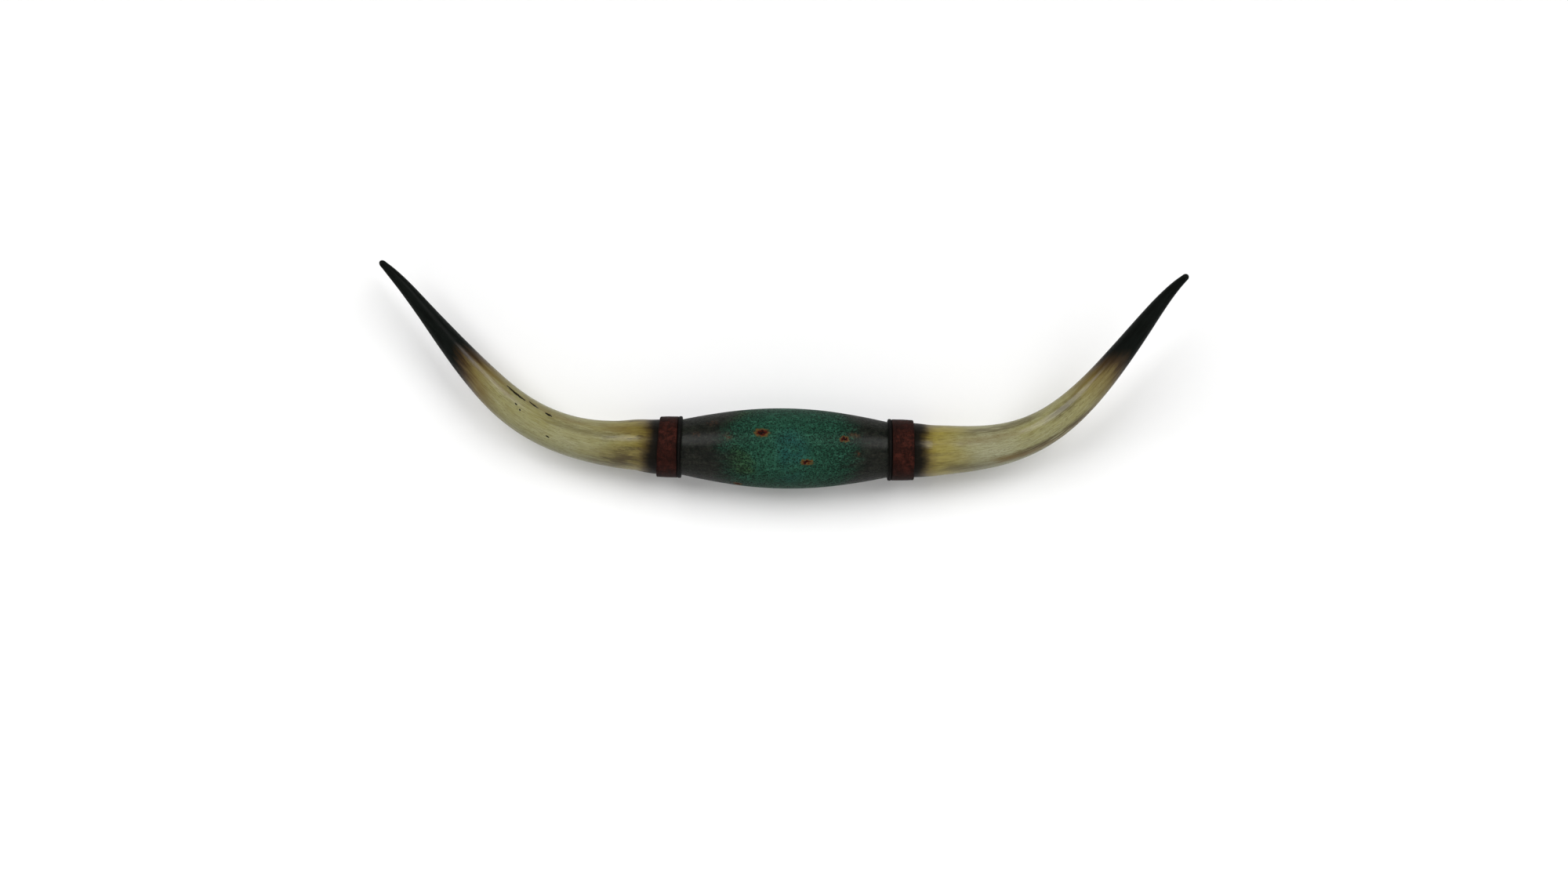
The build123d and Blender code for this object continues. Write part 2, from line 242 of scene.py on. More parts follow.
class Nodes:
    """A tree of nodes, added one at a time."""

    FAMILY = "Shader"
    KINDS = {}  # the kinds of node that are of another family

    def __init__(self, tree):
        self.nodes, self.links = tree.nodes, tree.links

    def add(self, kind, settings, inputs, output=0):
        """Adds one node, with its settings first and then its inputs' values or links."""
        node = self.nodes.new(self.KINDS.get(kind, self.FAMILY) + "Node" + kind)
        for name, value in settings.items():
            if name == "stops":
                self._set_stops(node.color_ramp, value)
            else:
                setattr(node, name, value)
        pairs = inputs.items() if isinstance(inputs, dict) else enumerate(inputs)
        for key, value in pairs:
            self.connect(node.inputs[key], value)
        return Value(self, node.outputs[output])

    def _set_stops(self, ramp, stops):
        while len(ramp.elements) < len(stops):
            ramp.elements.new(0.5)
        for element, (place, colour) in zip(ramp.elements, stops):
            element.position = place
            element.color = (*colour, 1)

    def connect(self, socket, value):
        """Links a value to a socket, or sets the socket to a number or a colour."""
        if isinstance(value, Value):
            self.links.new(value.socket, socket)
        elif isinstance(value, tuple) and socket.type == "RGBA":
            socket.default_value = (*value, 1)
        else:
            socket.default_value = value


class Finish(Nodes):
    """A material made of nodes."""

    def __init__(self, name):
        self.material = bpy.data.materials.new(name)
        self.material.use_nodes = True
        super().__init__(self.material.node_tree)
        self.shader = self.nodes["Principled BSDF"]

    def place(self, scale=(1, 1, 1), source=None):
        """Object coordinates, or another vector, scaled along each axis."""
        if source is None:
            source = self.add("TexCoord", {}, {}, "Object")
        return self.add("Mapping", {}, {"Vector": source, "Scale": scale})

    def split(self, vector):
        """The three numbers of a vector."""
        first = self.add("SeparateXYZ", {}, [vector])
        outputs = first.socket.node.outputs
        return [Value(self, outputs[axis]) for axis in range(3)]

    def noise(self, scale, detail=4.0, roughness=0.55, distortion=0.0, source=None):
        inputs = {
            "Vector": self.place(scale, source),
            "Scale": 1.0,
            "Detail": detail,
            "Roughness": roughness,
            "Distortion": distortion,
        }
        return self.add("TexNoise", {}, inputs)

    def cells(self, scale, feature="F1"):
        """The distance to the nearest of points scattered one to a unit cube."""
        inputs = {"Vector": self.place(scale), "Scale": 1.0}
        return self.add("TexVoronoi", {"feature": feature}, inputs)

    def ramp(self, factor, stops):
        return self.add("ValToRGB", {"stops": stops}, [factor])

    def blend(self, factor, under, over):
        """One colour over another, by a factor."""
        return self.add("Mix", {"data_type": "RGBA"}, {0: factor, 6: under, 7: over}, 2)

    def layers(self, colour, *overs):
        """A colour with others laid over it in turn, each given with the mask it shows through."""
        for mask, over in overs:
            colour = self.blend(mask, colour, over)
        return colour

    def height(self, height, distance, strength=1.0, under=None):
        """A normal raised by a height, over another normal."""
        inputs = {"Strength": strength, "Distance": distance, "Height": height}
        if under:
            inputs["Normal"] = under
        return self.add("Bump", {}, inputs)

    def finish(self, **sockets):
        """Sets the shader's sockets, named with underscores, and returns the material."""
        for name, value in sockets.items():
            self.connect(self.shader.inputs[name.replace("_", " ")], value)
        return self.material


def around_barrel(place, angle, radius):
    """A point on the barrel's skin, by its place along the axis and its angle from the front."""
    turn = math.radians(angle)
    return Vector((place, AXIS_Y - radius * math.cos(turn), radius * math.sin(turn)))


def stain(finish, vector, centre, half_length, half_height):
    """1 at a stain's centre, falling to 0 at its edge, which is long along the barrel."""
    inverse = (1 / half_length, 1 / half_height, 1 / half_height)
    away = finish.add("VectorMath", {"operation": "SUBTRACT"}, [vector, tuple(centre)])
    away = finish.add("VectorMath", {"operation": "MULTIPLY"}, [away, inverse])
    distance = finish.add("VectorMath", {"operation": "LENGTH"}, [away], "Value")
    return distance.rise(1.0, 0.0)


def stains_at(finish, vector, places, longer=1.0, taller=1.0):
    """A stain at each place on the barrel: place, angle, half length and half height."""
    stains = []
    for place, angle, half_length, half_height, *_ in places:
        centre = around_barrel(place, angle, barrel_radius(place))
        size = (half_length * longer, half_height * taller)
        stains.append(stain(finish, vector, centre, *size))
    return stains


def most(values):
    """The greatest of several values."""
    greatest = values[0]
    for value in values[1:]:
        greatest = greatest.at_least(value)
    return greatest


def horn_finish(name, look):
    """Polished horn: cream with grain along it, scorched at the foot and black at the tip."""
    f = Finish(f"horn_{name}")
    straight = f.add("Attribute", {"attribute_name": "straight"}, {}, "Vector")
    depth = f.add("Attribute", {"attribute_name": "split"}, {}, "Fac")
    along, front, up = f.split(straight)

    clouds = f.noise((12, 30, 30), 3, source=straight)
    streaks = f.noise((14, 260, 260), 6, 0.62, source=straight)
    grain = f.noise((26, 620, 620), 4, 0.6, source=straight)
    fine = f.noise((70, 1500, 1500), 3, 0.6, source=straight)
    flecks = f.noise((170, 900, 900), 4, 0.65, source=straight)
    ragged = f.noise((70, 260, 260), 6, 0.7, source=straight)

    cream = f.ramp(
        clouds,
        [
            (0.30, (0.178, 0.158, 0.052)),
            (0.44, (0.204, 0.190, 0.076)),
            (0.56, (0.222, 0.214, 0.104)),
            (0.72, (0.192, 0.186, 0.080)),
        ],
    )
    greyest = abs(along - 0.135).rise(0.075, 0.0) * look["grey"]
    dirt = flecks.rise(0.57, 0.66) * clouds.rise(0.40, 0.55)
    cream = f.layers(
        cream,
        (along.rise(0.20, 0.36) * 0.55, look["outer"]),
        (greyest, (0.262, 0.262, 0.176)),
        (streaks.rise(0.52, 0.72) * 0.30, (0.130, 0.104, 0.036)),
        (streaks.rise(0.46, 0.30) * 0.30, (0.256, 0.250, 0.158)),
        (grain.rise(0.51, 0.62) * 0.30, (0.115, 0.094, 0.036)),
        (grain.rise(0.46, 0.36) * 0.30, (0.270, 0.262, 0.170)),
        (fine.rise(0.52, 0.64) * 0.50, (0.095, 0.076, 0.028)),
        # Darker towards the top and the bottom of the horn: painted shade.
        (up.rise(-0.010, -0.034) * 0.40, (0.105, 0.100, 0.048)),
        (up.rise(0.014, 0.034) * 0.40, (0.165, 0.150, 0.040)),
        (dirt * 0.55, (0.060, 0.044, 0.016)),
    )

    # The foot is ochre, fading along the horn, with brown smudges along the grain.
    foot = along + (ragged - 0.5) * 0.014 + (clouds - 0.5) * 0.020
    ochre = foot.rise(look["ochre_end"], look["scorch_end"] + 0.004)
    smudges = f.noise((24, 170, 170), 5, 0.7, source=straight)
    smudged = foot.rise(look["ochre_end"] + 0.03, look["scorch_end"]) * smudges.rise(0.50, 0.62)
    cream = f.layers(
        cream,
        (ochre * 0.86, look["ochre"]),
        (ochre * grain.rise(0.50, 0.60) * 0.40, (0.060, 0.044, 0.012)),
        (ochre * streaks.rise(0.50, 0.42) * 0.35, (0.230, 0.190, 0.062)),
        (smudged * look["smudges"], (0.032, 0.022, 0.008)),
    )

    # Long stains that follow the grain, each round a place along and up the horn.
    for start, end, height, half_height, strength, colour in look["stains"]:
        lengthwise = along.rise(start - 0.015, start + 0.03) * along.rise(end + 0.02, end - 0.03)
        across = abs(up - height) / half_height + (ragged - 0.5) * 1.6
        patch = lengthwise * across.rise(1.2, 0.3) * front.rise(-0.004, 0.006)
        cream = f.blend(patch * streaks.rise(0.32, 0.54) * strength, cream, colour)

    # Against the barrel it is scorched.
    scorch_end = look["scorch_end"]
    brown = foot.rise(scorch_end + 0.024, scorch_end - 0.004)
    scorch = foot.rise(scorch_end + 0.010, scorch_end - 0.010)
    cream = f.layers(
        cream,
        (brown * 0.85, (0.050, 0.030, 0.009)),
        (scorch * 0.97, (0.004, 0.0035, 0.003)),
    )

    # The tip: brown and then black, with a pale tongue up the middle.
    edge = along + abs(up + look["tongue"]) * 1.3 + (streaks - 0.5) * 0.055
    start = look["black_start"]
    tan = edge.rise(start - 0.085, start - 0.01)
    umber = edge.rise(start - 0.030, start + 0.010)
    black = edge.rise(start - 0.004, start + 0.034)
    tint = f.ramp(streaks, [(0.35, (0.0015, 0.002, 0.0015)), (0.65, (0.004, 0.0055, 0.0045))])
    cream = f.layers(
        cream,
        (tan * 0.75, (0.100, 0.066, 0.017)),
        (umber * 0.92, (0.026, 0.012, 0.004)),
        (black, tint),
    )

    # The splits are painted darker with their depth, brown at the rim and black at the bottom:
    # painted shade in them.
    cream = f.layers(
        cream,
        (depth.rise(0.02, 0.35) * 0.8, (0.050, 0.034, 0.012)),
        (depth.rise(0.18, 0.45), (0.0025, 0.002, 0.0015)),
    )

    rough = 0.40 + (streaks - 0.5) * 0.25 + dirt * 0.2 + depth * 0.4
    normal = f.height(streaks * 0.6 + clouds * 0.5, 0.0008)
    normal = f.height(grain + fine, 0.00022, 0.8, normal)
    return f.finish(
        Base_Color=cream,
        Roughness=rough.at_least(0.12).at_most(0.9),
        Specular_IOR_Level=0.03,
        Coat_Weight=0.42 - black * 0.40 - scorch * 0.39 - depth * 0.38,
        Coat_Roughness=0.17,
        Normal=normal,
    )


def barrel_finish():
    """Blue-green paint full of black specks, burnt at both ends, with rust pits."""
    f = Finish("barrel_verdigris")
    spot = f.place()
    x, _, z = f.split(spot)
    along_grain = f.noise((18, 190, 190), 5, 0.6)
    clouds = f.noise((16, 22, 22), 3)
    grit = f.noise((330, 400, 400), 3, 0.62)
    mottle = f.noise((120, 180, 180), 5, 0.7)
    specks = f.cells((330, 380, 380))
    wander = f.add("TexNoise", {}, {"Vector": spot, "Scale": 240.0, "Detail": 4.0}, 1)
    wander = f.add("VectorMath", {"operation": "SUBTRACT"}, [wander, (0.5, 0.5, 0.5)])
    wander = f.add("VectorMath", {"operation": "SCALE"}, {0: wander, "Scale": 0.0095})
    ragged = f.add("VectorMath", {"operation": "ADD"}, [spot, wander])

    paint = f.ramp(
        mottle,
        [
            (0.30, (0.0080, 0.034, 0.020)),
            (0.50, (0.0135, 0.056, 0.034)),
            (0.70, (0.026, 0.092, 0.058)),
        ],
    )
    bluest = around_barrel(7 * MM, -14, 60 * MM)
    blue = stain(f, ragged, bluest, 40 * MM, 58 * MM)
    mossy = abs(x + 0.062).rise(0.045, 0.005) * clouds.rise(0.46, 0.66)
    paint = f.layers(
        paint,
        (blue * clouds.rise(0.3, 0.6) * 0.9, (0.008, 0.055, 0.062)),
        (mossy * 0.45, (0.040, 0.075, 0.020)),
        (along_grain.rise(0.52, 0.72) * 0.40, (0.008, 0.026, 0.018)),
    )

    # The paint thins to charcoal at both ends, and black shows through it in specks. Towards the
    # top and bottom the charcoal, grit and specks reach further in, which is painted shade, and
    # the paint is darkened there too, also painted shade.
    out = abs(x - 0.008) + (clouds - 0.5) * 0.040 + (along_grain - 0.5) * 0.028 + abs(z) * 0.20
    worn = out.rise(0.020, 0.105)
    dots = (specks - worn * 0.10).rise(0.42, 0.22) * mottle.rise(0.26, 0.42)
    gritty = (grit + worn * 0.08).rise(0.50, 0.59)
    paint = f.layers(
        paint,
        # Darker towards the top and the bottom of the barrel: painted shade.
        (abs(z).rise(0.030, 0.062) * 0.28, (0.004, 0.012, 0.008)),
        (gritty * 0.64, (0.0035, 0.011, 0.007)),
        (dots * 0.80, (0.002, 0.004, 0.003)),
    )
    char = f.ramp(mottle, [(0.38, (0.0015, 0.0014, 0.001)), (0.66, (0.0125, 0.0115, 0.0085))])
    burnt = out.rise(0.076, 0.122)
    # Paler grey patches on the charcoal: partly dust, partly a painted sheen.
    dust_and_sheen = burnt * grit.rise(0.50, 0.40) * along_grain.rise(0.42, 0.60)
    paint = f.layers(
        paint,
        (burnt * 0.93, char),
        (dust_and_sheen * 0.16, (0.050, 0.043, 0.034)),
    )

    # Faint rust, the pits' orange halos and dark red hearts, and then the nicks.
    marks = stains_at(f, ragged, RUST_STAINS)
    faint = most([mark * row[-1] for mark, row in zip(marks, RUST_STAINS)])
    halo = most(stains_at(f, ragged, RUST_PITS, 2.3, 2.7))
    heart = most(stains_at(f, ragged, RUST_PITS, 2.0, 2.1))
    nick = most(stains_at(f, ragged, NICKS)).rise(0.15, 0.5)
    patchy = mottle.rise(0.30, 0.5)
    paint = f.layers(
        paint,
        (faint * mottle.rise(0.38, 0.62), (0.085, 0.028, 0.010)),
        (halo.rise(0.06, 0.35) * patchy, (0.070, 0.042, 0.012)),
        (halo.rise(0.42, 0.70) * patchy, (0.105, 0.034, 0.008)),
        (heart.rise(0.25, 0.50), (0.045, 0.006, 0.003)),
        (heart.rise(0.50, 0.80), (0.005, 0.0025, 0.002)),
        (nick * 0.9, (0.005, 0.006, 0.005)),
    )

    rough = 0.44 + (grit - 0.5) * 0.4 + halo * 0.25 + dots * 0.2
    normal = f.height(along_grain, 0.0007, 0.7)
    relief = gritty * -0.5 - dots * 0.8 + mottle * 0.6 - nick * 1.2 - heart * 0.8
    normal = f.height(relief, 0.00038, 1.0, normal)
    return f.finish(
        Base_Color=paint,
        Roughness=rough.at_least(0.2).at_most(0.95),
        Specular_IOR_Level=0.02,
        Coat_Weight=burnt * 0.12 + 0.04,
        Coat_Roughness=0.3,
        Normal=normal,
    )


def leather_finish(name, dark, mid, worn, wear):
    """Full-grain leather that follows the strap, worn in the middle and dark at its edges, with
    painted shade in its creases and towards its top and bottom.
    """
    f = Finish(name)
    edge = f.add("Attribute", {"attribute_name": "near_edge"}, {}, "Fac")
    clouds = f.noise((45, 70, 70), 4, 0.6)
    mottle = f.noise((130, 160, 160), 5, 0.7)
    pores = f.cells((900, 900, 900))
    creases = f.cells((300, 420, 420), "DISTANCE_TO_EDGE")
    scuffs = f.noise((420, 120, 120), 4, 0.7, 0.6)

    rubbed = edge.rise(0.30, 0.0) * scuffs.rise(0.42, 0.62) * wear
    margin = edge + (mottle - 0.5) * 0.9
    away = abs(f.split(f.place())[2])
    hide = f.ramp(mottle, [(0.38, dark), (0.50, mid), (0.62, worn)])
    hide = f.layers(
        hide,
        (clouds.rise(0.46, 0.58) * 0.75, dark),
        (rubbed, worn),
        (margin.rise(0.10, 0.75) * 0.75, tuple(0.45 * c for c in dark)),
        # Darker in the creases: painted shade.
        (creases.rise(0.055, 0.0) * 0.55, tuple(0.4 * c for c in dark)),
        # Darker towards the top and the bottom of the band: painted shade.
        (away.rise(0.022, 0.046) * 0.5, tuple(0.6 * c for c in dark)),
    )
    rough = 0.58 + (scuffs - 0.5) * 0.35
    normal = f.height(clouds * 0.8 + scuffs * 0.3, 0.0010, 0.7)
    normal = f.height(creases.rise(0.0, 0.10) + pores * 0.35, 0.00022, 0.9, normal)
    return f.finish(
        Base_Color=hide,
        Roughness=rough.at_least(0.25),
        Specular_IOR_Level=0.04,
        Normal=normal,
    )


def wood_finish(name, pale, dark):
    """Bare turned softwood, its growth rings cut lengthwise."""
    f = Finish(name)
    rings = f.noise((9, 160, 160), 5, 0.6)
    pores = f.noise((90, 1300, 1300), 2)
    grain = f.ramp(rings, [(0.32, pale), (0.50, tuple(0.8 * c for c in pale)), (0.68, dark)])
    grain = f.blend(pores.rise(0.55, 0.75) * 0.4, grain, dark)
    return f.finish(
        Base_Color=grain,
        Roughness=0.62 + (rings - 0.5) * 0.3,
        Normal=f.height(rings + pores * 0.4, 0.0005),
    )


def metal_finish(name, colour, tarnish, roughness):
    """Aged metal: fine scratches, and dull tarnish in patches."""
    f = Finish(name)
    patches = f.noise((260, 260, 260), 5, 0.65)
    scratches = f.noise((90, 2400, 900), 3, 0.6)
    dull = patches.rise(0.46, 0.66)
    rough = roughness + (scratches - 0.5) * 0.25 + dull * 0.28
    return f.finish(
        Base_Color=f.blend(dull * 0.8, colour, tarnish),
        Metallic=1 - dull * 0.45,
        Roughness=rough.at_least(0.15),
        Normal=f.height(scratches + patches * 0.5, 0.00012),
    )


def plain_finish(name, colour, roughness):
    """The matt paint of the floor."""
    f = Finish(name)
    cloud = f.noise((3, 3, 3), 3)
    return f.finish(
        Base_Color=f.blend(cloud * 0.06, colour, (0.7, 0.7, 0.7)), Roughness=roughness
    )


# ---- reading the frame ----
def cad_tree(node):
    """A CAD node's surface, for casting rays at."""
    made = bmesh.new()
    made.from_mesh(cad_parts[node].data)
    tree = BVHTree.FromBMesh(made)
    made.free()
    return tree


def barrel_profile():
    """Places along the barrel and its radius at each, read from the front of the CAD barrel."""
    tree = cad_tree("centre_barrel")
    places = np.linspace(-JOINT_X + 0.2 * MM, JOINT_X - 0.2 * MM, 240)
    radii = []
    for place in places:
        start = Vector((place, AXIS_Y - HORN_REACH, 0))
        radii.append(AXIS_Y - tree.ray_cast(start, Vector((0, 1, 0)))[0].y)
    return places, np.array(radii)


PROFILE_X, PROFILE_R = barrel_profile()


def barrel_radius(place):
    """The barrel's radius at a place along it."""
    return float(np.interp(place, PROFILE_X, PROFILE_R))


def cross_axes(heading):
    """The directions square to a horn's line: towards the front, and up its concave side."""
    front = Vector((0, -1, 0))
    front = (front - heading * front.dot(heading)).normalized()
    up = front.cross(heading)
    return front, up if up.z > 0 else -up


def horn_rings(name):
    """Walks out along a CAD horn. Returns its rings: centre, heading, outer and inner radius,
    and how far the horn goes on beyond the last."""
    node = f"horn_{name}"
    tree = cad_tree(node)
    skin = [vertex.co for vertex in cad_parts[node].data.vertices]
    side = SIDES[name]
    tip = max(skin, key=lambda point: point.x * side)
    heading = Vector((side, 0, 0))
    centre = Vector((side * (JOINT_X + 0.3 * MM), AXIS_Y, 0))
    rays = [math.radians(15 * i + 7.5) for i in range(24)]
    rings = []
    while True:
        front, up = cross_axes(heading)
        outer, inner, found = [], [], []
        for turn in rays:
            out = front * math.cos(turn) + up * math.sin(turn)
            hit = tree.ray_cast(centre + out * HORN_REACH, -out, HORN_REACH)[0]
            wall = tree.ray_cast(centre, out, HORN_REACH)[0]
            if hit:
                outer.append((hit - centre).length)
                found.append(hit)
            if wall:
                inner.append((wall - centre).length)
        radius = float(np.median(outer))
        near = [p for p, r in zip(found, outer) if abs(r - radius) < 0.1 * radius + 0.3 * MM]
        middle = sum(near, Vector()) / len(near)
        if len(rings) > 10:
            centre = middle
        hollow = float(np.median(inner))
        rings.append((centre.copy(), heading.copy(), radius, hollow))
        if (tip - centre).dot(heading) < radius * 1.25:
            return rings, max((point - centre).dot(heading) for point in skin)
        if len(rings) > 11:
            heading = (centre - rings[-6][0]).normalized().lerp(heading, 0.5).normalized()
        centre = centre + heading * HORN_STEP


def smoothed(values, reach):
    """Each row of numbers averaged with its neighbours, the ends kept."""
    values = np.array(values, dtype=float)
    padded = np.concatenate([values[:1]] * reach + [values] + [values[-1:]] * reach)
    window = range(2 * reach + 1)
    result = sum(padded[i:i + len(values)] for i in window) / len(window)
    result[0], result[-1] = values[0], values[-1]
    return result


# ---- mesh helpers ----
def add_object(name, data):
    """Puts a mesh, a light or a camera in the scene."""
    thing = bpy.data.objects.new(name, data)
    bpy.context.scene.collection.objects.link(thing)
    return thing


def as_mesh(name, made):
    """Makes a mesh of a bmesh, which is freed."""
    mesh = bpy.data.meshes.new(name)
    made.to_mesh(mesh)
    made.free()
    return mesh


def evaluated_mesh(piece):
    """A piece's mesh with its modifiers applied."""
    graph = bpy.context.evaluated_depsgraph_get()
    return bpy.data.meshes.new_from_object(piece.evaluated_get(graph))


def mesh_piece(name, made, material, body="root"):
    """Makes a smooth piece of a bmesh and rides it on a body."""
    mesh = as_mesh(name, made)
    piece = add_object(name, mesh)
    mesh.materials.append(material)
    mesh.polygons.foreach_set("use_smooth", [True] * len(mesh.polygons))
    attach(piece, body)
    return piece


def add_grid(made, rows, closed):
    """Joins rows of vertices with quads, round each row if it is closed."""
    for row, following in zip(rows, rows[1:]):
        count = len(row)
        for i in range(count if closed else count - 1):
            j = (i + 1) % count
            made.faces.new((row[i], row[j], following[j], following[i]))


def cap_row(made, row):
    """Closes a ring of vertices with a fan round its middle."""
    middle = made.verts.new(sum((v.co for v in row), Vector()) / len(row))
    for i, vertex in enumerate(row):
        made.faces.new((vertex, row[(i + 1) % len(row)], middle))
    return middle


def point_outwards(made):
    """Turns every face outwards."""
    bmesh.ops.recalc_face_normals(made, faces=made.faces[:])


# ---- horns ----
def split_depth(along, angle, radius):
    """How deep the splits cut at a place on the left horn, and the share of their full depth."""
    depth, share = 0.0, 0.0
    for (start, start_angle), (end, end_angle), half_width, full in SPLITS:
        t = min(max((along - start) / (end - start), 0.0), 1.0)
        beyond = max(start - along, along - end, 0.0)
        wander = noise.noise(Vector((along * 260, full * 900, 0))) * 1.6
        middle = start_angle + (end_angle - start_angle) * t + wander
        aside = math.radians(abs(angle - middle)) * radius
        taper = math.sin(math.pi * min(max(t, 0.06), 0.94)) ** 0.5
        width = half_width * taper * (1 + 0.35 * noise.noise(Vector((along * 420, 3, full * 900))))
        away = math.hypot(aside, beyond) / max(width + SPLIT_BLUR, 1e-6)
        cut = max(0.0, 1 - away * away)
        if cut > share:
            share, depth = cut, full * taper * min(1.0, cut * 1.5)
    return depth, share


def horn_stations(name):
    """Smooth functions of the distance along a horn, from its rings."""
    rings, beyond = horn_rings(name)
    centres = smoothed([ring[0] for ring in rings], 4)
    radii = smoothed([ring[2] for ring in rings], 3)
    hollows = [ring[3] for ring in rings]
    steps = np.linalg.norm(np.diff(centres, axis=0), axis=1)
    along = np.concatenate([[0], np.cumsum(steps)])
    return along, centres, radii, hollows, beyond - 0.2 * MM


def horn_angles(split):
    """Angles round a horn, closer together over the splits."""
    angles = set(np.arange(-180, 180, 3.0))
    if split:
        angles |= set(np.arange(34, 60, 0.6)) | set(np.arange(2, 22, 1.0))
        angles |= set(np.arange(-30, -17, 1.0))
    return sorted(angles)


def make_horn(name, material):
    """One horn: skin with grain, growth rings and splits, a rounded tip and a hollow foot."""
    along, centres, radii, hollows, nose = horn_stations(name)
    split = name == "left"
    angles = horn_angles(split)
    places = list(np.arange(0, along[-1] - HORN_STEP / 2, HORN_STEP)) + [along[-1]]
    if split:
        places = [place for place in places if not SPLIT_START <= place <= SPLIT_END]
        places = sorted(places + list(np.arange(SPLIT_START, SPLIT_END, HORN_STEP_FINE)))

    made = bmesh.new()
    straight = made.verts.layers.float_vector.new("straight")
    share_layer = made.verts.layers.float.new("split")

    def middle_at(place):
        """The middle of the horn at a place along it."""
        return Vector([np.interp(place, along, centres[:, i]) for i in range(3)])

    def ring_at(place, beyond=0.0, scale=1.0, carve=True):
        """A ring of vertices. beyond carries it past the last station, over the tip."""
        centre = middle_at(place)
        heading = (middle_at(place + 3 * MM) - middle_at(place - 3 * MM)).normalized()
        front, up = cross_axes(heading)
        radius = float(np.interp(place, along, radii)) * scale
        row = []
        for angle in angles:
            turn = math.radians(angle)
            out = front * math.cos(turn) + up * math.sin(turn)
            sunk, share = 0.0, 0.0
            if carve:
                sunk = skin_relief(name, place, out, radius)
                if split and SPLIT_START < place < SPLIT_END:
                    cut, share = split_depth(place, angle, radius)
                    sunk += cut
            vertex = made.verts.new(centre + heading * beyond + out * (radius - sunk))
            vertex[straight] = (
                place + beyond,
                radius * math.cos(turn),
                radius * math.sin(turn),
            )
            vertex[share_layer] = share
            row.append(vertex)
        return row

    rows = [ring_at(place) for place in places]
    for step in range(1, TIP_RINGS + 1):
        turn = math.radians(TIP_TURN * step)
        rows.append(ring_at(along[-1], nose * math.sin(turn), math.cos(turn), carve=False))
    add_grid(made, rows, closed=True)
    cap = cap_row(made, rows[-1])
    cap[straight] = (along[-1] + nose, 0, 0)

    # The hollow: the reamed mouth and the space beyond it.
    hollow_end = max(i for i, r in enumerate(hollows) if r < radii[i] - 2.5 * MM)
    inner_rows = []
    for i in range(0, hollow_end + 1, 6):
        inner_rows.append(ring_at(along[i], scale=hollows[i] / radii[i], carve=False))
    add_grid(made, inner_rows, closed=True)
    cap_row(made, inner_rows[-1])
    add_grid(made, [rows[0], inner_rows[0]], closed=True)
    point_outwards(made)
    horn = mesh_piece(f"horn_skin_{name}", made, material)
    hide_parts(f"horn_{name}")


def skin_relief(name, place, out, radius):
    """How far the skin lies under the CAD horn: broad hollows, growth rings and grain."""
    seed = RELIEF_SEEDS[name]
    broad = noise.noise(Vector((place * 16 + seed, out.y * 1.1, out.z * 1.1)))
    rings = noise.noise(Vector((place * 150 + seed, out.y * 0.5, out.z * 0.5)))
    grain = noise.noise(Vector((place * 12 + seed, out.y * 16, out.z * 16)))
    young = max(0.0, 1 - place / 0.30)
    shallow = min(1.0, radius / 0.03)
    sunk = 0.14 * (broad + 1) + 0.12 * young * (rings + 1) + 0.08 * (grain + 1)
    return sunk * MM * shallow * min(1.0, max(0.0, (place - 0.018) / 0.03))


# ---- barrel ----
def pit_depth(point, place):
    """How deep the rust pits cut at a point of the barrel's skin."""
    depth = 0.0
    for pit, angle, half_length, half_height, full in RUST_PITS:
        if abs(place - pit) > half_length * 2:
            continue
        away = point - around_barrel(pit, angle, barrel_radius(pit))
        reach = math.hypot(away.x / half_length, math.hypot(away.y, away.z) / half_height)
        reach *= 1 + 0.35 * noise.noise(point * 420)
        if reach < 1:
            floor = 0.8 + 0.4 * noise.noise(point * 900)
            depth = max(depth, full * floor * min(1.0, (1 - reach) * 2.2))
    return depth


def arc(x, z, radius, first, sweep, steps):
    """Points round an arc in the wall's plane, with its angles in degrees."""
    turns = [math.radians(first + sweep * i / steps) for i in range(steps + 1)]
    return [(x + radius * math.cos(turn), z + radius * math.sin(turn)) for turn in turns]


def keyhole_cutter():
    """The let-in for each hanger plate and the pocket behind its keyhole, as one mesh."""
    gap, pocket_r, pocket_rise, pocket_depth = 0.15 * MM, 6 * MM, 10 * MM, 9 * MM
    corner, steps = 3 * MM, 8
    made = bmesh.new()
    for name in SIDES:
        low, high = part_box(f"keyhole_plate_{name}")
        middle = (low + high) / 2
        half_x, half_z = (high.x - low.x) / 2 + gap, (high.z - low.z) / 2 + gap
        let_in, pocket = [], []
        for quarter, (sx, sz) in enumerate([(1, 1), (-1, 1), (-1, -1), (1, -1)]):
            x, z = middle.x + sx * (half_x - corner), middle.z + sz * (half_z - corner)
            let_in += arc(x, z, corner, 90 * quarter, 90, steps)
        for rise, first in ((pocket_rise, 0), (0, 180)):
            pocket += arc(middle.x, rise, pocket_r, first, 180, 2 * steps)
        for outline, depth in ((let_in, high.y - low.y), (pocket, pocket_depth)):
            front = [made.verts.new((x, WALL_Y - depth, z)) for x, z in outline]
            back = [made.verts.new((x, WALL_Y + depth, z)) for x, z in outline]
            add_grid(made, [front, back], closed=True)
            made.faces.new(front)
            made.faces.new(back)
    point_outwards(made)
    return add_object("keyhole_cutter", as_mesh("keyhole_cutter", made))


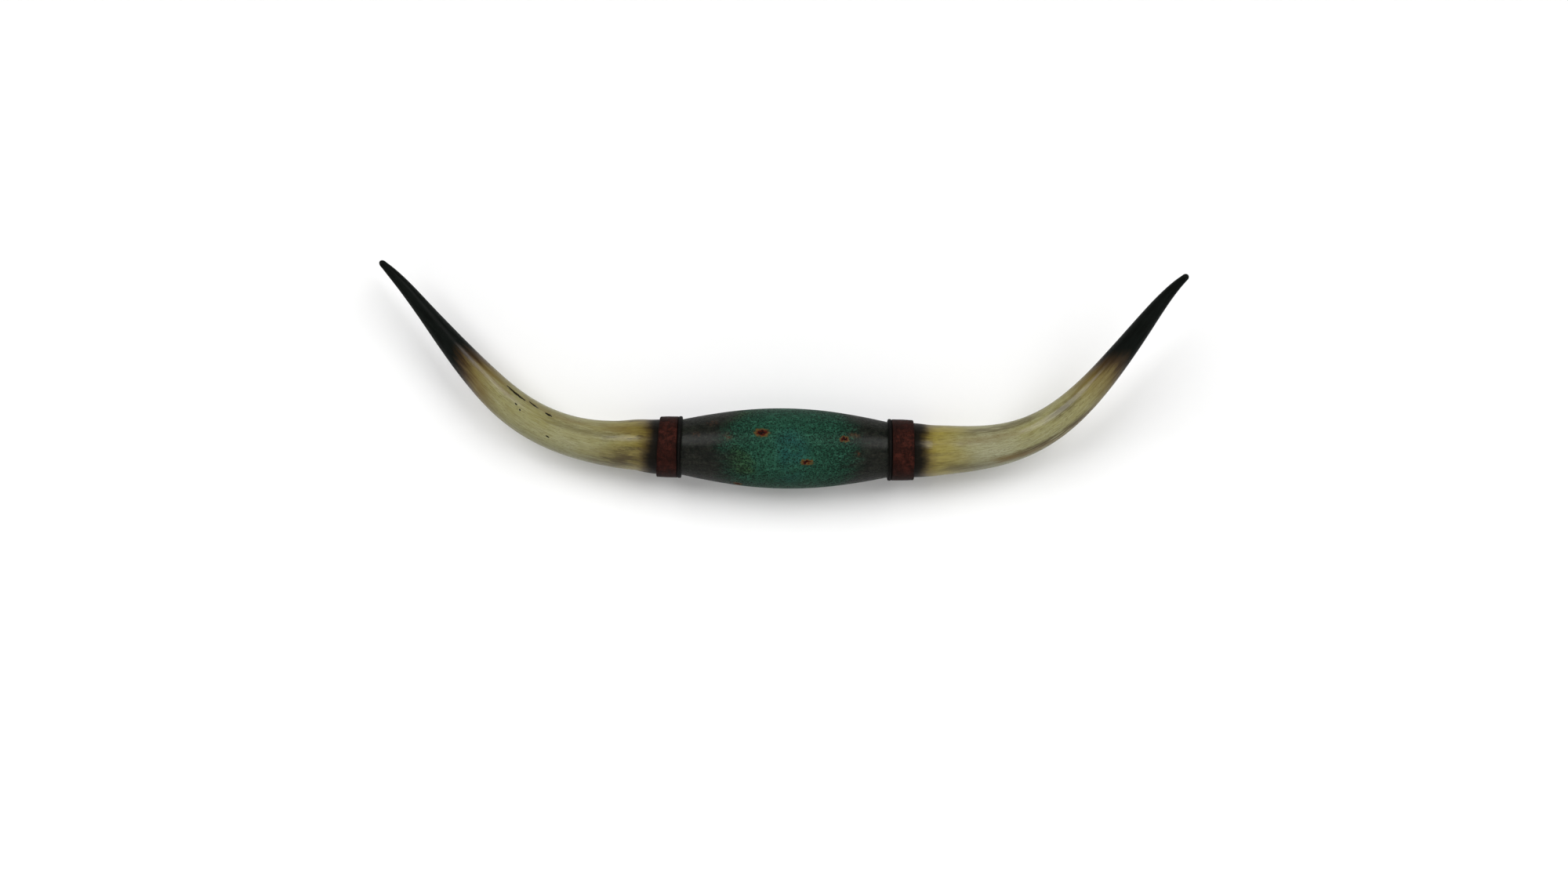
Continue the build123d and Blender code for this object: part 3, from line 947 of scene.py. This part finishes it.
def make_barrel(material):
    """The turned barrel, with its rust pits, the flat on its back and the plates' let-ins."""
    made = bmesh.new()
    rows = []
    for place in np.linspace(-JOINT_X, JOINT_X, BARREL_ROWS):
        radius = barrel_radius(place)
        row = []
        for i in range(BARREL_AROUND):
            row.append(made.verts.new(around_barrel(place, 360 * i / BARREL_AROUND, radius)))
        rows.append(row)
    add_grid(made, rows, closed=True)
    for row in (rows[0], rows[-1]):
        cap_row(made, row)

    # The mesh is finer over the pits, and every vertex goes back on the turned skin.
    near = set()
    for face in made.faces:
        centre = face.calc_center_median()
        for pit, angle, half_length, half_height, _ in RUST_PITS:
            away = centre - around_barrel(pit, angle, barrel_radius(pit))
            if abs(away.x) < half_length * 1.3 and away.length < half_length * 1.8:
                near.update(face.edges)
    bmesh.ops.subdivide_edges(made, edges=list(near), cuts=2, use_grid_fill=True)
    for vertex in made.verts:
        spoke = vertex.co - Vector((vertex.co.x, AXIS_Y, 0))
        radius = barrel_radius(vertex.co.x)
        skin = AXIS + Vector((vertex.co.x, 0, 0)) + spoke.normalized() * radius
        depth = pit_depth(skin, vertex.co.x)
        vertex.co = skin - spoke.normalized() * depth

    # The back is planed flat.
    everything = made.verts[:] + made.edges[:] + made.faces[:]
    cut = bmesh.ops.bisect_plane(
        made,
        geom=everything,
        plane_co=(0, WALL_Y, 0),
        plane_no=(0, 1, 0),
        clear_outer=True,
    )
    rim = [item for item in cut["geom_cut"] if isinstance(item, bmesh.types.BMEdge)]
    bmesh.ops.contextual_create(made, geom=rim)
    point_outwards(made)
    barrel = mesh_piece("barrel_skin", made, material)

    cutter = keyhole_cutter()
    carve = barrel.modifiers.new("let_ins", "BOOLEAN")
    carve.operation, carve.solver, carve.object = "DIFFERENCE", "EXACT", cutter
    carve.use_self = True
    carved = evaluated_mesh(barrel)
    barrel.modifiers.clear()
    barrel.data = carved
    barrel.data.name = "barrel_skin"
    barrel.data.set_sharp_from_angle(angle=math.radians(40))
    bpy.data.objects.remove(cutter)
    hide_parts("centre_barrel")


# ---- leather ----
def strap_section(width, round_r):
    """Points of a strap's section: across it, the share of its thickness, how near an edge."""
    share = round_r / STRAP_THICK
    corner = []
    for i in range(9):
        turn = math.radians(90 * i / 8)
        over = 1 - share * (1 - math.sin(turn))
        corner.append((round_r * (1 - math.cos(turn)), over, 1 - 0.8 * i / 8))
    top = []
    for i in range(1, 12):
        t = i / 12
        top.append((round_r + (width - 2 * round_r) * t, 1, 0.2 * abs(2 * t - 1)))
    far_corner = [(width - across, over, edge) for across, over, edge in reversed(corner)]
    under = [(width * share, 0, 1.0) for share in (1, 0.66, 0.33, 0)]
    return corner + top + far_corner + under


def strap_radii(tree, side, places):
    """The under and top radius of a CAD strap at places out from the middle."""
    front = Vector((0, -1, 0))
    radii = []
    for place in places:
        middle = AXIS + Vector((side * place, 0, 0))
        under = tree.ray_cast(middle, front)[0]
        top = tree.ray_cast(middle + front * HORN_REACH, -front)[0]
        radii.append(((under - middle).length, (top - middle).length))
    return np.array(radii)


def make_strap(name, node, side, material, round_r, waver):
    """A leather strap closed round the joint, with its CAD node's edges, lean and thickness."""
    tree = cad_tree(node)
    low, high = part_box(node)
    near, far = sorted((abs(low.x), abs(high.x)))
    places = [near + 2.5 * MM, (near + far) / 2, far - 4 * MM]
    under_r, top_r = strap_radii(tree, side, places).T

    def edge_at(turn, start, towards):
        """How far out the node's edge lies at an angle, from a place beyond it."""
        radial = Vector((0, -math.cos(turn), math.sin(turn))) * (under_r[1] + top_r[1]) / 2
        hit = tree.ray_cast(AXIS + radial + Vector((side * start, 0, 0)), Vector((towards, 0, 0)))
        return abs(hit[0].x)

    made = bmesh.new()
    near_edge = made.verts.layers.float.new("near_edge")
    rows = []
    half_open = math.degrees(SEAM_HALF / top_r[1])
    for i in range(STRAP_STEPS + 1):
        angle = -180 + half_open + (360 - 2 * half_open) * i / STRAP_STEPS
        turn = math.radians(angle)
        beside_seam = math.radians(min(max(angle, -178.5), 178.5))
        start = edge_at(beside_seam, near - 10 * MM, side)
        end = edge_at(beside_seam, far + 10 * MM, -side)
        round_about = Vector((math.cos(turn) * 2.5, math.sin(turn) * 2.5, side))
        start += waver * (noise.noise(round_about) + 0.5)
        end -= waver * (noise.noise(round_about + Vector((0, 0, 9))) + 0.5)
        row = []
        for across, over, edge in strap_section(end - start, round_r):
            out_x = start + across
            under = float(np.interp(out_x, places, under_r))
            top = float(np.interp(out_x, places, top_r))
            lump = noise.noise(Vector((out_x * 70, math.cos(turn) * 6, math.sin(turn) * 6)))
            radius = under + (top - under) * over - 0.14 * MM * (lump + 1) * over
            vertex = made.verts.new(around_barrel(side * out_x, angle, radius))
            vertex[near_edge] = edge
            row.append(vertex)
        rows.append(row)
    add_grid(made, rows, closed=True)
    for row in (rows[0], rows[-1]):
        made.faces.new(row)
    point_outwards(made)
    piece = mesh_piece(name, made, material)
    piece.data.set_sharp_from_angle(angle=math.radians(50))
    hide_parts(node)


# ---- tacks ----
class Tree(Nodes):
    """A tree of geometry nodes with named inputs."""

    FAMILY = "Geometry"
    KINDS = {
        "Math": "Shader",
        "VectorMath": "Shader",
        "CombineXYZ": "Shader",
        "TexNoise": "Shader",
        "RandomValue": "Function",
        "AlignRotationToVector": "Function",
        "RotateRotation": "Function",
    }

    def __init__(self, name):
        self.group = bpy.data.node_groups.new(name, "GeometryNodeTree")
        super().__init__(self.group)
        interface = self.group.interface
        interface.new_socket("Geometry", in_out="INPUT", socket_type="NodeSocketGeometry")
        interface.new_socket("Geometry", in_out="OUTPUT", socket_type="NodeSocketGeometry")
        self.entry = self.nodes.new("NodeGroupInput")
        self.exit = self.nodes.new("NodeGroupOutput")

    def input(self, name, kind):
        """Adds a named input."""
        self.group.interface.new_socket(name, in_out="INPUT", socket_type="NodeSocket" + kind)
        return Value(self, self.entry.outputs[name])

    def turned(self, count, segments, height, radius):
        """A shape turned about Z. height and radius are values of the share along it."""
        line = self.add("CurvePrimitiveLine", {}, {"End": (0, 0, 1)})
        line = self.add("ResampleCurve", {}, {"Curve": line, "Count": count})
        place = self.add("CombineXYZ", {}, {"Z": height})
        line = self.add("SetPosition", {}, {"Geometry": line, "Position": place})
        ring = self.add("CurvePrimitiveCircle", {}, {"Resolution": segments, "Radius": 1.0})
        sockets = {"Curve": line, "Profile Curve": ring, "Scale": radius, "Fill Caps": True}
        return self.add("SetShadeSmooth", {}, [self.add("CurveToMesh", {}, sockets)])


def tack_tree():
    """A domed tack with a pointed shank at every point, facing the way its outward says."""
    tree = Tree("domed_tacks")
    floats = [tree.input(name, "Float") for name in TACK if name != "Segments"]
    head_r, dome, shank_r, length, point, dent, lean = floats
    segments = tree.input("Segments", "Int")
    seed = tree.input("Seed", "Int")
    material = tree.input("Material", "Material")

    share = tree.add("SplineParameter", {}, {})
    swept = share * (math.pi / 2)
    rise = tree.add("Math", {"operation": "SINE"}, [swept])
    reach = tree.add("Math", {"operation": "COSINE"}, [swept])
    head = tree.turned(14, segments, rise * dome, reach * head_r)
    taper = ((1.05 - share) * length / point).at_most(1.0)
    shank = tree.turned(24, segments, share * length * -1, taper * shank_r)
    tack = tree.add("JoinGeometry", {}, {})
    for piece in (head, shank):
        tree.connect(tack.socket.node.inputs[0], piece)

    # The heads are dented by the hammer.
    dents = tree.add("TexNoise", {}, {"Scale": 900.0, "Detail": 2.0})
    normal = tree.add("InputNormal", {}, {})
    sunk = {0: normal, "Scale": dents * dent * -1}
    sunk = tree.add("VectorMath", {"operation": "SCALE"}, sunk)
    tack = tree.add("SetPosition", {}, {"Geometry": tack, "Offset": sunk})

    outward = tree.add("InputNamedAttribute", {"data_type": "FLOAT_VECTOR"}, ["outward"])
    upright = tree.add("AlignRotationToVector", {"axis": "Z"}, {"Vector": outward})
    most_lean = tree.add("CombineXYZ", {}, [lean, lean, math.pi])
    least_lean = tree.add("VectorMath", {"operation": "SCALE"}, {0: most_lean, "Scale": -1.0})
    leans = {0: least_lean, 1: most_lean, "Seed": seed}
    turn = tree.add("RandomValue", {"data_type": "FLOAT_VECTOR"}, leans)
    turn = {"Rotation": upright, "Rotate By": turn}
    rotation = tree.add("RotateRotation", {"rotation_space": "LOCAL"}, turn)
    driven = {"Points": Value(tree, tree.entry.outputs["Geometry"])}
    driven.update({"Instance": tack, "Rotation": rotation})
    tacks = tree.add("InstanceOnPoints", {}, driven)
    tacks = tree.add("RealizeInstances", {}, [tacks])
    tacks = tree.add("SetMaterial", {}, {"Geometry": tacks, "Material": material})
    tree.connect(tree.exit.inputs[0], tacks)
    return tree.group


def tack_seats(node):
    """Where each CAD tack's head sits on the leather and which way it faces."""
    made = bmesh.new()
    made.from_mesh(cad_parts[node].data)
    bmesh.ops.remove_doubles(made, verts=made.verts, dist=0.001 * MM)
    loose = set(made.verts)
    seats = []
    while loose:
        grown = [loose.pop()]
        for vertex in grown:
            for edge in vertex.link_edges:
                other = edge.other_vert(vertex)
                if other in loose:
                    loose.discard(other)
                    grown.append(other)
        points = [vertex.co for vertex in grown]
        middle = sum(points, Vector()) / len(points)
        middle.x = (min(p.x for p in points) + max(p.x for p in points)) / 2
        outward = (middle - Vector((middle.x, AXIS_Y, 0))).normalized()
        crown = max((p - middle).dot(outward) for p in points)
        seats.append((middle + outward * (crown - TACK["Dome Height"]), outward))
    made.free()
    return sorted(seats, key=lambda seat: tuple(seat[0]))


def make_tacks(name, tree, material):
    """The brass tacks of one band."""
    node = f"band_tacks_{name}"
    mesh = bpy.data.meshes.new(f"domed_{node}")
    seats = tack_seats(node)
    mesh.from_pydata([tuple(seat) for seat, _ in seats], [], [])
    outward = mesh.attributes.new("outward", "FLOAT_VECTOR", "POINT")
    outward.data.foreach_set("vector", [number for _, way in seats for number in way])
    tacks = add_object(f"domed_{node}", mesh)
    modifier = tacks.modifiers.new("tacks", "NODES")
    modifier.node_group = tree
    sizes = dict(TACK, Seed=SIDES[name] + TACK_SEED, Material=material)
    for item in tree.interface.items_tree:
        if item.in_out == "INPUT" and item.name in sizes:
            modifier[item.identifier] = sizes[item.name]
    made = evaluated_mesh(tacks)
    tacks.modifiers.clear()
    tacks.data = made
    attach(tacks, "root")
    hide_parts(node)


# ---- stage ----
def add_softbox(name, direction, strength, across):
    """A broad, distant light, which shines from a direction."""
    light = bpy.data.lights.new(name, "SUN")
    light.energy = strength
    light.angle = math.radians(across)
    lamp = add_object(name, light)
    lamp.location = Vector(direction) * 3
    lamp.rotation_euler = Vector(direction).to_track_quat("Z", "Y").to_euler()


def build_world():
    """An even pale room, dimmer as a light than it looks."""
    world = bpy.data.worlds.new("studio")
    bpy.context.scene.world = world
    world.use_nodes = True
    nodes, links = world.node_tree.nodes, world.node_tree.links
    background = nodes["Background"]
    background.inputs["Color"].default_value = (1, 1, 1, 1)
    seen = nodes.new("ShaderNodeLightPath")
    strength = nodes.new("ShaderNodeMapRange")
    strength.inputs["To Min"].default_value = WORLD_STRENGTH
    strength.inputs["To Max"].default_value = 1.0
    links.new(seen.outputs["Is Camera Ray"], strength.inputs["Value"])
    links.new(strength.outputs[0], background.inputs["Strength"])


def stage_sheet(name, corners, material):
    """One flat sheet of the stage."""
    made = bmesh.new()
    made.faces.new([made.verts.new(corner) for corner in corners])
    mesh = as_mesh(name, made)
    mesh.materials.append(material)
    sheet = add_object(name, mesh)
    return sheet


def wall_finish():
    """White wall paint that is seen from the front only, so that the back can be looked at."""
    f = Finish("wall_paint")
    f.finish(Base_Color=(0.77, 0.77, 0.77), Roughness=0.9)
    clear = f.add("BsdfTransparent", {}, {})
    behind = f.add("NewGeometry", {}, {}, "Backfacing")
    both = f.add("MixShader", {}, [behind, Value(f, f.shader.outputs[0]), clear])
    f.links.new(both.socket, f.nodes["Material Output"].inputs["Surface"])
    return f.material


def build_stage():
    """The wall behind, the floor below, soft light from in front and behind, and the camera."""
    r = STAGE_REACH
    heights = ((-r, FLOOR_Z), (r, FLOOR_Z), (r, WALL_TOP), (-r, WALL_TOP))
    wall = stage_sheet("wall", [(x, WALL_GAP, z) for x, z in heights], wall_finish())
    wall.visible_shadow = False
    floor = [(x, y, FLOOR_Z) for x, y in ((-r, -r), (r, -r), (r, r), (-r, r))]
    stage_sheet("floor", floor, plain_finish("floor_paint", (0.80, 0.80, 0.79), 0.8))

    for name, (direction, strength, across) in LIGHTS.items():
        add_softbox(name, direction, strength, across)
    build_world()

    lens = bpy.data.cameras.new("front_view")
    lens.lens, lens.sensor_width = CAMERA_LENS, CAMERA_SENSOR
    camera = add_object("front_view", lens)
    camera.location = (CAMERA_X, AXIS_Y - CAMERA_DISTANCE, CAMERA_Z)
    camera.rotation_euler = (math.pi / 2, -math.radians(CAMERA_ROLL), 0)
    bpy.context.scene.camera = camera
    bpy.context.scene.view_settings.view_transform = "Standard"


# ---- the object ----
for name in SIDES:
    make_horn(name, horn_finish(name, HORN_LOOKS[name]))
make_barrel(barrel_finish())

LEATHERS = {
    "chestnut": ((0.008, 0.0024, 0.0016), (0.022, 0.0054, 0.0034), (0.048, 0.0120, 0.0076), 0.4),
    "black": ((0.002, 0.0018, 0.0015), (0.004, 0.0034, 0.003), (0.012, 0.010, 0.008), 0.3),
}
chestnut = leather_finish("chestnut_leather", *LEATHERS["chestnut"])
black = leather_finish("black_leather", *LEATHERS["black"])
for name, side in SIDES.items():
    band, welt = f"leather_band_{name}", f"band_welt_{name}"
    rounding, waver = 1.3 * MM, 0.35 * MM
    make_strap(f"leather_strap_{name}", band, side, chestnut, rounding, waver)
    rounding, waver = 1.6 * MM, 0.2 * MM
    make_strap(f"welt_strap_{name}", welt, side, black, rounding, waver)

METALS = {
    "brass": metal_finish("aged_brass", (0.42, 0.28, 0.11), (0.10, 0.065, 0.03), 0.32),
    "zinc": metal_finish("zinc_plate", (0.50, 0.51, 0.52), (0.22, 0.22, 0.21), 0.36),
    "brown": metal_finish("browned_steel", (0.16, 0.13, 0.10), (0.05, 0.035, 0.025), 0.42),
    "bright": metal_finish("turned_steel", (0.42, 0.42, 0.43), (0.16, 0.14, 0.12), 0.30),
}
PINE = wood_finish("bare_pine", (0.52, 0.36, 0.19), (0.34, 0.20, 0.09))
BEECH = wood_finish("bare_beech", (0.50, 0.33, 0.20), (0.38, 0.23, 0.12))
tacks = tack_tree()
for name in SIDES:
    make_tacks(name, tacks, METALS["brass"])
CAD_FINISHES = {
    "horn_screws": METALS["zinc"],
    "plate_screws": METALS["brown"],
    "keyhole_plate": METALS["zinc"],
    "tie_rod_nut": METALS["bright"],
    "tie_rod_washer": METALS["bright"],
    "horn_plug": PINE,
    "joint_dowels": BEECH,
}
for stem, material in CAD_FINISHES.items():
    for name in SIDES:
        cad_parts[f"{stem}_{name}"].material_slots[0].material = material
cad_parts["tie_rod"].material_slots[0].material = METALS["bright"]

build_stage()
